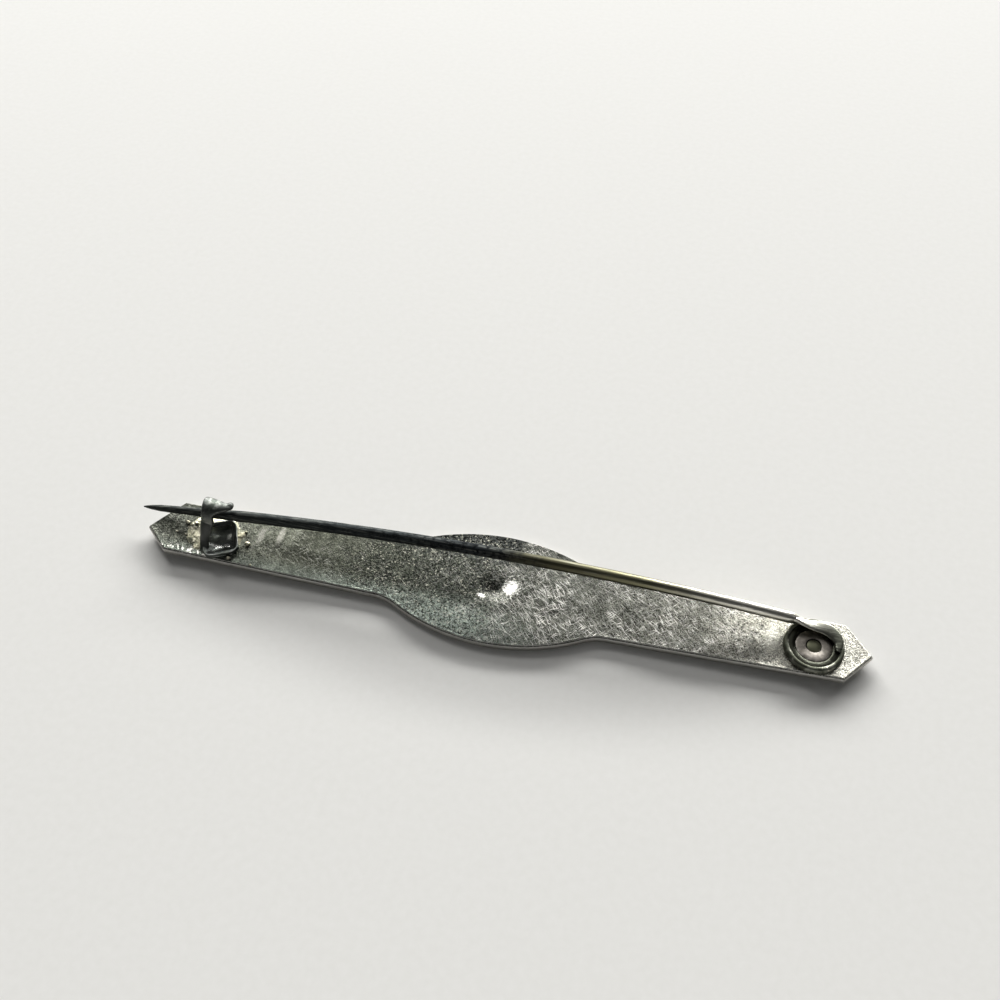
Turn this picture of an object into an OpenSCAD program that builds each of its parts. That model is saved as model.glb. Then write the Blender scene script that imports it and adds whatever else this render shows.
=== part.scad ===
// A bar brooch that lies on its front, so its back, pin and catch face up.
// X runs along the bar towards the pin's joint, Z points up out of the back.
// The origin is the middle of the front, where it rests.

/* [Bar] */
// Length of the bar from point to point
bar_l = 60; // [54:0.5:66]
// Width of the bar where its pointed ends begin
end_w = 5; // [4.6:0.1:5.6]
// Width of the bar beside the round swell
waist_w = 5.5; // [5.2:0.1:6]
// Length of each pointed end
point_l = 2.1; // [1.5:0.1:3]
// How far the left point has been bent off the middle line
point_skew = -0.6; // [-1:0.1:1]
// Thickness of the sheet
bar_t = 0.75; // [0.6:0.05:1]
// How far the ends stand higher than the middle
bar_rise = 0.4; // [0.3:0.05:0.6]

/* [Swell] */
// Width of the bar across the round swell
swell_w = 10.45; // [9.5:0.05:11.5]
// Radius of the swell's round edge
swell_r = 16.1; // [14:0.1:18]
// Radius of the hollow corners between swell and bar
corner_r = 4; // [2:0.5:5]
// Diameter of the punched dimple
dimple_d = 2.8; // [2:0.1:3.4]
// Depth of the punched dimple
dimple_deep = 0.22; // [0.1:0.02:0.3]

/* [Catch] */
// Distance of the catch's hook from the middle of the bar
catch_x = 24.5; // [24:0.1:24.8]
// Width of the catch's foot
foot_w = 2.9; // [2.6:0.1:3]
// Length of the catch's foot
foot_l = 3.4; // [3:0.1:3.5]
// How far the foot is turned on the bar, in degrees
foot_turn = 24; // [16:1:26]
// Height of the foot over the bar
foot_h = 0.42; // [0.36:0.02:0.5]
// Depth of the dish in the foot
dish_deep = 0.3; // [0.2:0.02:0.34]
// Width of the lip round the dish
lip_w = 0.42; // [0.3:0.02:0.5]
// Width of the strap that rises to the hook
strap_w = 0.75; // [0.6:0.05:0.8]
// Thickness of the strap and the hook
strap_t = 0.46; // [0.4:0.02:0.5]
// Width of the hook over the pin
hook_w = 1.3; // [1.1:0.05:1.4]
// Inside radius of the hook
hook_r = 0.76; // [0.74:0.02:0.82]
// How far the hook is twisted across the pin, in degrees
hook_twist = 15; // [8:1:18]
// Length of the pool of solder along the bar
solder_l = 6.2; // [5:0.2:7]
// Height of the solder where it is thickest
solder_h = 0.3; // [0.2:0.05:0.34]

/* [Joint] */
// Distance of the rivet from the middle of the bar
joint_x = 25.4; // [25:0.1:25.6]
// How far the rivet sits off the middle line
joint_y = -0.15; // [-0.3:0.05:0]
// Outside diameter of the cup
cup_d = 4.7; // [4.5:0.1:4.8]
// Height of the cup over the bar
cup_h = 0.55; // [0.55:0.01:0.6]
// Thickness of the cup's metal
cup_t = 0.15; // [0.12:0.01:0.16]
// Width of the rim that is turned in over the eye
rim_w = 0.37; // [0.34:0.01:0.4]
// Diameter of the rivet's head
head_d = 2.84; // [2.7:0.02:2.86]
// Height of the rivet's head over the cup's floor
head_h = 0.14; // [0.12:0.01:0.2]
// Diameter of the rivet's shank
shank_d = 1.3; // [1:0.1:1.6]
// Diameter of the ring punched in the head
mark_d = 1.2; // [1:0.1:1.4]

/* [Pin] */
// Diameter of the pin's wire
wire_d = 0.95; // [0.9:0.01:1]
// Length of the ground point's long slope
taper_l = 7.6; // [7:0.1:8]
// Diameter of the wire where the long slope ends
slope_d = 0.56; // [0.5:0.02:0.62]
// Length of the steep end of the point
tip_l = 1.6; // [1.2:0.1:2]
// Diameter left at the very tip
tip_d = 0.12; // [0.08:0.02:0.16]
// How far the pin bows away from the bar
pin_bow = 1.45; // [1.2:0.05:1.6]
// Height of the pin over the table where its point begins
pin_h = 2.45; // [2.35:0.05:2.6]
// Distance from the middle of the bar at which the point begins
taper_x = 22; // [21:0.1:22.4]
// How far the pin lies off the middle line where its point begins
taper_y = 1.13; // [1.05:0.01:1.2]
// Thickness of the wire where it is flattened on edge
blade_t = 0.42; // [0.38:0.01:0.44]

/* [Fit] */
// Gap between pieces that lie on each other
seat_gap = 0.02; // [0.01:0.01:0.03]
// Clearance round the rivet's head in the pin's eye
eye_gap = 0.05; // [0.03:0.01:0.08]

/* [Hidden] */
$fn = 96;
arc_fn = 1440;
over = 1;

// The bar's back and front are two long arcs about one axis
half_l = bar_l / 2;
arch_r = (half_l * half_l + bar_rise * bar_rise) / (2 * bar_rise);
flat_cut = 0.044;
corner_x = half_l - point_l;
function front_z(x) = arch_r - sqrt(arch_r * arch_r - x * x) - flat_cut;
function back_z(x) = bar_t + front_z(x);

// The swell's two arcs, and the hollow corners that lead into them
swell_y = swell_w / 2 - swell_r;
root_x = 10.5;
edge_a = atan((waist_w - end_w) / 2 / (corner_x - root_x));
edge_n = [sin(edge_a), cos(edge_a)];
edge_u = [cos(edge_a), -sin(edge_a)];
edge_d = edge_n * [root_x, waist_w / 2] + corner_r;
hollow_f = edge_d * edge_n - [0, swell_y];
hollow_b = hollow_f * edge_u;
hollow_c = hollow_f * hollow_f - (swell_r + corner_r) * (swell_r + corner_r);
hollow_s = sqrt(hollow_b * hollow_b - hollow_c) - hollow_b;
hollow_at = edge_d * edge_n + hollow_s * edge_u;
hollow_line = hollow_at - corner_r * edge_n;
hollow_arc = [0, swell_y] + (hollow_at - [0, swell_y]) * swell_r / (swell_r + corner_r);
hollow_fit = 0.01;
hollow_deep = 0.6;

// The flat seat that is filed in the bar for the cup
seat_z = back_z(joint_x - cup_d / 4);
cup_r = cup_d / 2;
head_r = head_d / 2;
shank_z = front_z(joint_x + shank_d / 2);
eye_in = head_r + eye_gap;
rim_in = cup_r - rim_w;
rim_bevel = 0.08;
mark_deep = 0.06;
mark_w = 0.1;
floor_z = seat_z + seat_gap + cup_t;
rim_z = seat_z + seat_gap + cup_h;
eye_low = floor_z + seat_gap;
eye_top = rim_z - cup_t - seat_gap;
eye_out = cup_r - cup_t - eye_gap;

// The blade is the eye's wire on edge, and its top falls away clockwise
blade_in = eye_in + 0.02;
blade_r = blade_in + blade_t / 2;
blade_y = joint_y + blade_r;
blade_mid_h = 0.775;
blade_slope = 12.7;
blade_end_a = -40;
neck_l = 1.7;
neck_over = 0.1;

// The stem is one arc from the neck at the joint to the start of the point
stem_gap = 0.04;
cone_d = wire_d - 0.02;
cone_over = 0.1;
shoulder_l = 0.8;
stem_x = joint_x - 2.05;
stem_z = rim_z + stem_gap + wire_d / 2;
stem_l = stem_x + taper_x;
stem_a = atan((pin_h - stem_z) / stem_l);
plan_a = atan((blade_y - taper_y) / stem_l);
stem_r = (stem_l * stem_l / 4 + pin_bow * pin_bow) / (2 * pin_bow);
bend_a = asin(stem_l / 2 / stem_r);
stem_mid = [(stem_x - taper_x) / 2, (blade_y + taper_y) / 2, (stem_z + pin_h) / 2];

// Where the pin passes through the catch, and where the hook ends over it
hook_y = taper_y - (catch_x - taper_x) * tan(plan_a);
hook_z = pin_h - (catch_x - taper_x) * tan(bend_a - stem_a);
hook_mid_r = hook_r + strap_t / 2;
hook_low_a = 205;
hook_end_a = 68;
bead_r = 0.24;
bead_reach = 0.75;

// The foot stands askew, and the strap starts on the lip at its near corner
foot_x = catch_x - 1;
foot_y = -0.6;
foot_z = back_z(foot_x);
foot_corner = 0.7;
dish_corner = 0.5;
strap_root = [0.1 - catch_x, -1.95, foot_z];
strap_top = [-0.5 - catch_x, hook_y - hook_mid_r, hook_z];
strap_over = 0.1;
solder_x = catch_x - 0.3;
solder_z = back_z(solder_x);
solder_edge = 0.1;
solder_r = (solder_l * solder_l / 4 + solder_h * solder_h) / (2 * solder_h);

module half_outline() {
    polygon([
        [half_l, 0],
        [corner_x, end_w / 2],
        [root_x, waist_w / 2],
        [0, waist_w / 2],
        [0, 0]
    ]);
    intersection() {
        translate([0, swell_y])
            circle(r = swell_r, $fn = 360);
        square([root_x, swell_w]);
    }
    difference() {
        polygon([
            hollow_line,
            hollow_at,
            hollow_arc,
            hollow_arc - [hollow_deep / 2, hollow_deep],
            hollow_line - [0, hollow_deep]
        ]);
        translate(hollow_at - hollow_fit * edge_n)
            circle(r = corner_r, $fn = 180);
    }
}

module outline() {
    half_outline();
    mirror([0, 1])
        half_outline();
    mirror([1, 0])
        half_outline();
    mirror([1, 0])
        mirror([0, 1])
            half_outline();
}

// The left point is bent sideways: its old tip goes and a skewed one comes
module skewed_point() {
    polygon([
        [-half_l, point_skew],
        [-corner_x, end_w / 2],
        [-corner_x, -end_w / 2]
    ]);
}

module bar_plan() {
    difference() {
        outline();
        translate([-half_l - over, -end_w])
            square([point_l + over, 2 * end_w]);
    }
    skewed_point();
}

module sheet() {
    intersection() {
        linear_extrude(height = bar_t + bar_rise + over)
            bar_plan();
        translate([0, 0, arch_r - flat_cut])
            rotate([90, 0, 0])
                cylinder(r = arch_r, h = 2 * swell_w, center = true, $fn = arc_fn);
    }
}

module plate() {
    difference() {
        sheet();
        translate([0, 0, bar_t + arch_r - flat_cut])
            rotate([90, 0, 0])
                cylinder(r = arch_r, h = 3 * swell_w, center = true, $fn = arc_fn);
        translate([0, 0, back_z(0) - dimple_deep])
            cylinder(d1 = dimple_d / 10, d2 = 1.9 * dimple_d, h = 2 * dimple_deep);
        translate([joint_x, joint_y, seat_z])
            cylinder(r = cup_r + eye_gap, h = over);
        translate([joint_x, joint_y, -over])
            cylinder(d = shank_d + 2 * seat_gap, h = bar_t + bar_rise + 2 * over);
    }
}

// Solder stands in a low round pool and stays on the bar
module solder() {
    intersection() {
        translate([-solder_x, 0, solder_z + solder_h - solder_r])
            sphere(r = solder_r, $fn = 360);
        translate([-solder_x, 0, solder_z])
            cube([solder_l, end_w - 2 * solder_edge, bar_t], center = true);
    }
}

module foot_plan(w, l, r) {
    square([w, l - 2 * r], center = true);
    square([w - 2 * r, l], center = true);
    for (x = [-1, 1])
        for (y = [-1, 1])
            translate([x * (w / 2 - r), y * (l / 2 - r)])
                circle(r = r);
}

module foot() {
    translate([-foot_x, foot_y, foot_z - bar_t / 2])
        rotate([0, 0, foot_turn])
            linear_extrude(height = bar_t / 2 + foot_h)
                foot_plan(foot_w, foot_l, foot_corner);
}

// The hollow that is pressed in the foot, which leaves a raised lip round it
module dish() {
    translate([-foot_x, foot_y, foot_z + foot_h - dish_deep])
        rotate([0, 0, foot_turn])
            linear_extrude(height = over)
                foot_plan(foot_w - 2 * lip_w, foot_l - 2 * lip_w, dish_corner);
}

// The strap leans from the foot's lip up to the hook
module strap() {
    run = strap_top - strap_root;
    lean = atan(norm([run.x, run.y]) / run.z);
    translate(strap_root)
        rotate([-lean, 0, -atan(run.x / run.y)])
            translate([-strap_w / 2, -strap_t / 2, -strap_over])
                cube([strap_w, strap_t, norm(run) + strap_over]);
}

// The hook comes over the pin and stops above it, so the far side is open
module hook() {
    translate([-catch_x, hook_y, hook_z])
        rotate([0, 0, -hook_twist])
            rotate([90, 0, 90]) {
                rotate([0, 0, hook_end_a])
                    rotate_extrude(angle = hook_low_a - hook_end_a)
                        translate([hook_r, -hook_w / 2])
                            square([strap_t, hook_w]);
                rotate([0, 0, hook_end_a])
                    translate([hook_mid_r, 0, -hook_w / 2])
                        cylinder(r = bead_r, h = hook_w + bead_reach);
            }
}

module bar() {
    color([0.66, 0.66, 0.63])
        plate();
    color([0.60, 0.58, 0.48])
        difference() {
            solder();
            dish();
        }
    color([0.36, 0.37, 0.37]) {
        difference() {
            foot();
            dish();
        }
        strap();
        hook();
    }
}

// A cup of thin sheet with a hole in its floor and its rim turned inwards
module joint_cup() {
    color([0.40, 0.40, 0.38])
        translate([joint_x, joint_y, seat_z + seat_gap])
            rotate_extrude()
                polygon([
                    [shank_d / 2 + seat_gap, 0],
                    [cup_r, 0],
                    [cup_r, cup_h - rim_bevel],
                    [cup_r - rim_bevel, cup_h],
                    [rim_in, cup_h],
                    [rim_in, cup_h - cup_t],
                    [cup_r - cup_t, cup_h - cup_t],
                    [cup_r - cup_t, cup_t],
                    [shank_d / 2 + seat_gap, cup_t]
                ]);
}

// The shank goes through cup and bar, and its hidden end is dressed flush
module rivet() {
    color([0.62, 0.59, 0.56])
        difference() {
            translate([joint_x, joint_y, 0]) {
                translate([0, 0, shank_z])
                    cylinder(d = shank_d, h = floor_z - shank_z + head_h / 2);
                translate([0, 0, floor_z + seat_gap])
                    cylinder(r = head_r, h = head_h);
            }
            translate([joint_x, joint_y, floor_z + seat_gap + head_h - mark_deep])
                difference() {
                    cylinder(d = mark_d, h = over);
                    cylinder(d = mark_d - 2 * mark_w, h = over);
                }
        }
}

// A ring about the rivet's head, as thin as the space under the cup's rim
module eye() {
    translate([joint_x, joint_y, eye_low])
        difference() {
            cylinder(r = eye_out, h = eye_top - eye_low);
            translate([0, 0, -over])
                cylinder(r = eye_in, h = 3 * over);
        }
}

// What lies under the blade's sloping top
module under_slope() {
    reach = 8;
    translate([joint_x, joint_y, seat_z + blade_mid_h])
        rotate([0, 0, -45])
            rotate([0, blade_slope, 0])
                translate([-reach / 2, -reach / 2, -reach])
                    cube([reach, reach, reach]);
}

module blade() {
    intersection() {
        union() {
            translate([joint_x, joint_y, eye_low])
                rotate([0, 0, blade_end_a])
                    rotate_extrude(angle = 90 - blade_end_a)
                        translate([blade_in, 0])
                            square([blade_t, 2]);
            translate([joint_x - neck_l, joint_y + blade_in, rim_z + stem_gap])
                cube([neck_l + neck_over, blade_t, 2]);
        }
        under_slope();
    }
}

// The ground point, with a long slope and a steep end
module point() {
    rotate_extrude($fn = 48)
        polygon([
            [0, 0],
            [cone_d / 2, 0],
            [slope_d / 2, taper_l],
            [tip_d / 2, taper_l + tip_l],
            [0, taper_l + tip_l]
        ]);
}

// The bowed wire with its shoulder at the joint and its point at the catch
module stem() {
    translate(stem_mid)
        rotate([0, 0, plan_a])
            rotate([0, stem_a, 0])
                translate([0, 0, pin_bow - stem_r])
                    rotate([90, 0, 0]) {
                        rotate([0, 0, 90 - bend_a])
                            rotate_extrude(angle = 2 * bend_a, $fn = arc_fn)
                                translate([stem_r, 0])
                                    circle(d = wire_d, $fn = 48);
                        rotate([0, 0, 90 + bend_a])
                            translate([stem_r, -cone_over, 0])
                                rotate([-90, 0, 0])
                                    point();
                        rotate([0, 0, 90 - bend_a])
                            translate([stem_r, cone_over, 0])
                                rotate([90, 0, 0])
                                    cylinder(d1 = cone_d, d2 = blade_t, h = shoulder_l, $fn = 48);
                    }
}

module pin() {
    color([0.45, 0.44, 0.38]) {
        stem();
        blade();
        eye();
    }
}

bar();
joint_cup();
rivet();
pin();
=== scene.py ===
import math
import bmesh
import bpy
from mathutils import Matrix, Vector, noise


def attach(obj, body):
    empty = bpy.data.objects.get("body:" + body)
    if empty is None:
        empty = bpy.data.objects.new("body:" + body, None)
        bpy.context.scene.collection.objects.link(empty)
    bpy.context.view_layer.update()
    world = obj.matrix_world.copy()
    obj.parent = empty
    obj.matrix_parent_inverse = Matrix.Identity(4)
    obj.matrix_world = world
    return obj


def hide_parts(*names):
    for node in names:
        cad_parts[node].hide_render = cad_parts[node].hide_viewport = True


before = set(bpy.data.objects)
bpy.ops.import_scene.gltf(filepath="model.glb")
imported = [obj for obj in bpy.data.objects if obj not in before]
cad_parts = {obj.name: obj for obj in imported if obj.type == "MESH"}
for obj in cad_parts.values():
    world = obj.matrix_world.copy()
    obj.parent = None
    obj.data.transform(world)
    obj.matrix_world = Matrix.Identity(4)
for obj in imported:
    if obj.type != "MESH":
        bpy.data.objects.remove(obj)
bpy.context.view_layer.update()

mm = 0.001  # sizes are in mm until a piece is finished
mergeGap = 0.001  # points closer than this become one
barHalf = 30  # half the bar's length
plateTop = 0.706  # height of the back over the table at the middle of the bar
archRadius = 1125.2  # the bar is bowed along this circle
seatHeight = 0.967  # the filed seat for the cup
jointAt = Vector((25.4, -0.15, 0))
footAt = Vector((-23.5, -0.6, 0))
footTurn = 24


def archHeight(x):
    return archRadius - math.sqrt(archRadius * archRadius - x * x)


def backHeight(x):
    return plateTop + archHeight(x)


def shares(count):
    return [i / count for i in range(count + 1)]  # even steps from 0 to 1


def eased(share):
    return share * share * (3 - 2 * share)  # level at both ends


def linear(hexColour):
    parts = [int(hexColour[i:i + 2], 16) / 255 for i in (1, 3, 5)]
    return [p / 12.92 if p <= 0.04045 else ((p + 0.055) / 1.055) ** 2.4 for p in parts] + [1.0]


def perSize(sizeInMm):
    return 1 / (sizeInMm * mm)  # pattern scale for a feature of that real size


def newMaterial(name):
    material = bpy.data.materials.new(name)
    material.use_nodes = True
    return material, material.node_tree


def fillNode(tree, node, settings, links):
    for key, value in (settings or {}).items():
        if key == "stops":
            while len(node.color_ramp.elements) < len(value):
                node.color_ramp.elements.new(0.5)
            for stop, (place, colour) in zip(node.color_ramp.elements, value):
                stop.position = place
                stop.color = linear(colour)
        elif key in ("range", "span"):  # from and to; a span is between real places, in mm
            for end, place in zip(("From Min", "From Max"), value):
                node.inputs[end].default_value = place * (mm if key == "span" else 1)
        elif isinstance(key, str) and hasattr(node, key):
            setattr(node, key, value)
        else:
            node.inputs[key].default_value = linear(value) if isinstance(value, str) else value
    for key, socket in (links or {}).items():
        tree.links.new(socket, node.inputs[key])


def addNode(tree, kind, settings=None, links=None):
    # gives back the main output; a mix is always of colours, its share at 0 and the two colours at 6 and 7
    node = tree.nodes.new("ShaderNode" + kind)
    if kind == "Mix":
        node.data_type = "RGBA"
    fillNode(tree, node, settings, links)
    return node.outputs[{"Mix": 2, "TexCoord": 3}.get(kind, 0)]


def crossScratches(tree, point, look, where):
    # cells drawn out to thin strips, of which only the cores show: short straight scratches in many directions
    right, up = look["setShift"]
    drawn = None
    for index, turn in enumerate(look["turns"]):
        turned = addNode(tree, "Mapping", {"Rotation": (0, 0, math.radians(turn)),
                                           "Location": (where + index * right * mm, index * up * mm, 0)},
                         {"Vector": point})
        length = look["length"] * (1 + look["longer"] * (index % 3))
        strips = addNode(tree, "Mapping", {"Scale": [perSize(size) for size in (length, *look["section"])]},
                         {"Vector": turned})
        cells = addNode(tree, "TexVoronoi", {"Scale": 1.0, "Randomness": 1.0}, {"Vector": strips})
        core = addNode(tree, "MapRange", {"range": (look["core"], look["core"] * look["soft"])}, {"Value": cells})
        depth = addNode(tree, "MapRange", {"range": look["chosen"]}, {"Value": cells.node.outputs["Color"]})
        core = addNode(tree, "Math", {"operation": "MULTIPLY"}, {0: core, 1: depth})
        drawn = core if drawn is None else addNode(tree, "Math", {"operation": "MAXIMUM"}, {0: drawn, 1: core})
    return drawn


def awayFrom(tree, point, centre, radii):
    # how far a place on the plan is from an oval's centre, with 1 on the oval
    away = addNode(tree, "Mapping", {"Location": (-centre[0] / radii[0], -centre[1] / radii[1], 0),
                                     "Scale": (perSize(radii[0]), perSize(radii[1]), 0)}, {"Vector": point})
    return addNode(tree, "VectorMath", {"operation": "LENGTH"}, {0: away}).node.outputs["Value"]


def makeSheetMetal():
    # nickel silver sheet, rolled, worn and tarnished: olive grey and smooth round the catch, eaten to dark specks
    # left of the middle, and rubbed silvery with crossing scratches towards the joint
    look = {"stops": [(0.0, "#4d4f47"), (0.12, "#56584e"), (0.22, "#53554a"), (0.30, "#383a31"), (0.42, "#2f322b"),
                      (0.50, "#32342e"), (0.62, "#3e3f39"), (0.78, "#55554e"), (0.90, "#b5b3a7"), (0.97, "#d4d1c4")],
            "calm": [(0.0, "#ffffff"), (0.14, "#f0f0f0"), (0.24, "#a0a0a0"), (0.32, "#ffffff"), (0.9, "#ffffff"),
                     (0.96, "#d0d0d0")],
            # the spots are painted light: highlights, and shade on the dimple's left slope
            "spots": ((-20.39, 0.59, 0.36, 1.2, "#84837a"), (-18.76, 0.97, 0.32, 1.1, "#84837a"),
                      (22.23, 0.05, 0.6, 1.3, "#d8d6ca"), (1.25, 0.3, 0.75, 0.75, "#fffdf4"),
                      (-0.55, 0.0, 0.95, 0.8, "#0d0e0c"), (-0.95, -0.95, 0.4, 0.22, "#fffdf4")),
            "eaten": [(0.0, "#a0a0a0"), (0.12, "#909090"), (0.2, "#404040"), (0.26, "#404040"), (0.34, "#e0e0e0"),
                      (0.46, "#e0e0e0"), (0.6, "#303030"), (0.93, "#303030"), (0.97, "#b0b0b0")],
            # the cut edge's tones are painted light: a pale reflection, a dark line of shade and a bright burr
            # highlight
            "wall": [(0.0, "#aeaca6"), (0.78, "#c8c6c0"), (0.85, "#1f1e1c"), (0.93, "#1f1e1c"), (0.98, "#fbf9f0")],
            "green": "#6a726a", "speck": "#121311", "fleck": "#b9b7a6", "bright": "#fbf9f0", "shade": "#2c2d2a",
            "crust": "#2b2e2d", "grainSize": 0.12, "blotchSize": 0.5, "speckSize": 0.22, "fleckSize": 0.16,
            "patchSize": 4.2, "crowdSize": 1.6, "nickSize": 0.28, "bandSize": 2.4, "bandStretch": (1, 0.4, 1),
            "turns": (40, 33, 49, -28, 62, 26, 57, -50), "length": 0.85, "longer": 0.35, "section": (0.045, 4),
            "core": 0.42, "soft": 0.3, "setShift": (3.1, 1.7), "chosen": (0.64, 0.8),
            "darkShift": 40, "darkShare": 0.7, "crustShare": 0.7, "paintedLightShare": 0.9, "ragged": 0.4, "blend": 8,
            "greenAt": (-1.2, -3.6), "crustAt": (2.2, 2.9), "crustEnd": (2.6, 1.6), "nickAt": (-1.65, -2.15),
            "nickEnd": (-23.5, -25.0), "burr": 0.01, "waveDepth": 0.2, "grainDepth": 0.04, "blotchDepth": 0.3,
            "scratchDepth": -0.15, "speckDepth": -0.9}
    material, tree = newMaterial("wornNickelSilverSheet")
    point = addNode(tree, "TexCoord")
    x = addNode(tree, "SeparateXYZ", None, {0: point})
    y, z = x.node.outputs[1:3]
    patch = addNode(tree, "TexNoise", {"Scale": perSize(look["patchSize"]), "Detail": 4.0}, {"Vector": point})
    # place runs from 0 at the left point to 1 at the right one, moved by noise so that each tone ends raggedly
    along = addNode(tree, "Math", {"operation": "MULTIPLY_ADD", 1: look["blend"] * mm,
                                   2: -look["blend"] / 2 * mm}, {0: patch})
    along = addNode(tree, "Math", {"operation": "ADD"}, {0: along, 1: x})
    place = addNode(tree, "MapRange", {"span": (-barHalf, barHalf)}, {"Value": along})
    tone = addNode(tree, "ValToRGB", {"stops": look["stops"]}, {"Fac": place})
    # the tarnish is a little green along the near edge of the swell
    near = addNode(tree, "MapRange", {"span": look["greenAt"]}, {"Value": y})
    notRight = addNode(tree, "MapRange", {"range": (0.58, 0.44)}, {"Value": place})
    near = addNode(tree, "Math", {"operation": "MULTIPLY"}, {0: near, 1: notRight})
    tone = addNode(tree, "Mix", {7: look["green"]}, {0: near, 6: tone})
    rubbed = addNode(tree, "MapRange", {"range": (0.38, 0.62)}, {"Value": place})
    # fine grain and wider blotches, whose tones are weak where the sheet is smooth
    grain = addNode(tree, "TexNoise", {"Scale": perSize(look["grainSize"]), "Detail": 3.0, "Roughness": 0.65},
                    {"Vector": point})
    blotch = addNode(tree, "TexNoise", {"Scale": perSize(look["blotchSize"]), "Detail": 5.0, "Roughness": 0.7},
                     {"Vector": point})
    calm = addNode(tree, "ValToRGB", {"stops": look["calm"]}, {"Fac": place})
    uneven = addNode(tree, "Math", {"operation": "MULTIPLY_ADD", 1: 2.0}, {0: grain, 2: blotch})
    uneven = addNode(tree, "MapRange", {"range": (1.16, 1.84), "To Min": -0.95, "To Max": 1.3}, {"Value": uneven})
    uneven = addNode(tree, "Math", {"operation": "MULTIPLY_ADD", 2: 1.0}, {0: uneven, 1: calm})
    tone = addNode(tree, "VectorMath", {"operation": "SCALE"}, {0: tone, "Scale": uneven})
    lines = crossScratches(tree, point, look, 0)
    crowded = addNode(tree, "TexNoise", {"Scale": perSize(look["crowdSize"]), "Detail": 3.0}, {"Vector": point})
    crowded = addNode(tree, "MapRange", {"range": (0.4, 0.58), "To Min": 0.25}, {"Value": crowded})
    shown = addNode(tree, "MapRange", {"To Min": 0.15, "To Max": 0.92}, {"Value": rubbed})
    shown = addNode(tree, "Math", {"operation": "MULTIPLY"}, {0: crowded, 1: shown})
    shown = addNode(tree, "Math", {"operation": "MULTIPLY"}, {0: lines, 1: shown})
    dark = crossScratches(tree, point, look, look["darkShift"] * mm)
    dark = addNode(tree, "Math", {"operation": "MULTIPLY", 1: look["darkShare"]}, {0: dark})
    layers = [(shown, look["bright"]), (dark, look["shade"])]
    # painted light: the pale streaks on the left half and the band near the joint are painted highlights
    # the dimple has painted highlights on its right slope and below its left side, and painted shade on its left
    # slope
    for cx, cy, rx, ry, shade in look["spots"]:
        near = awayFrom(tree, point, (cx, cy), (rx, ry))
        near = addNode(tree, "Math", {"operation": "MULTIPLY_ADD", 1: look["ragged"]}, {0: uneven, 2: near})
        near = addNode(tree, "MapRange", {"range": (1.45, 0.95), "To Max": look["paintedLightShare"]}, {"Value": near})
        layers.append((near, shade))
    # the near edge beside the catch is nicked bright
    nicks = addNode(tree, "TexNoise", {"Scale": perSize(look["nickSize"]), "Detail": 1.0}, {"Vector": point})
    nicks = addNode(tree, "MapRange", {"range": (0.56, 0.66)}, {"Value": nicks})
    for axis, span in ((y, look["nickAt"]), (x, look["nickEnd"])):
        reach = addNode(tree, "MapRange", {"span": span}, {"Value": axis})
        nicks = addNode(tree, "Math", {"operation": "MULTIPLY"}, {0: nicks, 1: reach})
    # tarnish has eaten dark specks left of the middle, and is a crust along the far edge of the swell's left half
    eaten = addNode(tree, "ValToRGB", {"stops": look["eaten"]}, {"Fac": place})
    far = addNode(tree, "MapRange", {"span": look["crustAt"]}, {"Value": y})
    crust = addNode(tree, "MapRange", {"span": look["crustEnd"]}, {"Value": along})
    crust = addNode(tree, "Math", {"operation": "MULTIPLY"}, {0: far, 1: crust})
    eaten = addNode(tree, "Math", {"operation": "MAXIMUM"}, {0: eaten, 1: crust})
    crust = addNode(tree, "Math", {"operation": "MULTIPLY", 1: look["crustShare"]}, {0: crust})
    specks = addNode(tree, "TexNoise", {"Scale": perSize(look["speckSize"]), "Detail": 3.0, "Roughness": 0.75},
                     {"Vector": point})
    specks = addNode(tree, "MapRange", {"range": (0.51, 0.56)}, {"Value": specks})
    specks = addNode(tree, "Math", {"operation": "MULTIPLY"}, {0: specks, 1: eaten})
    # bright flecks stand between the pits
    flecks = addNode(tree, "TexNoise", {"Scale": perSize(look["fleckSize"]), "Detail": 2.0, "Roughness": 0.7},
                     {"Vector": point})
    flecks = addNode(tree, "MapRange", {"range": (0.58, 0.66), "To Max": 0.75}, {"Value": flecks})
    flecks = addNode(tree, "Math", {"operation": "MULTIPLY"}, {0: flecks, 1: eaten})
    layers += [(nicks, look["bright"]), (crust, look["crust"]), (flecks, look["fleck"]), (specks, look["speck"])]
    for share, shade in layers:
        tone = addNode(tree, "Mix", {7: shade}, {0: share, 6: tone})
    # the cut edge is smooth grey, painted lighter as a reflection of the paper, with a dark line under its burr
    # that dark line is painted shade, and the burr's bright top a painted highlight
    facing = addNode(tree, "SeparateXYZ", None, {0: point.node.outputs["Normal"]}).node.outputs[2]
    wall = addNode(tree, "MapRange", {"range": (0.85, 0.6)}, {"Value": facing})
    rise = addNode(tree, "Math", {"operation": "MULTIPLY"}, {0: x, 1: x})  # height, with the bar's bow taken off
    rise = addNode(tree, "Math", {"operation": "MULTIPLY_ADD", 1: -0.5 / (archRadius * mm)}, {0: rise, 2: z})
    rise = addNode(tree, "MapRange", {"span": (0, plateTop + look["burr"])}, {"Value": rise})
    edge = addNode(tree, "ValToRGB", {"stops": look["wall"]}, {"Fac": rise})
    tone = addNode(tree, "Mix", None, {0: wall, 6: tone, 7: edge})
    rough = addNode(tree, "MapRange", {"To Min": 0.3, "To Max": 0.28}, {"Value": rubbed})
    rough = addNode(tree, "Math", {"operation": "MULTIPLY_ADD", 1: 0.3}, {0: specks, 2: rough})
    rough = addNode(tree, "Math", {"operation": "MULTIPLY_ADD", 1: 0.2}, {0: wall, 2: rough})
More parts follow.
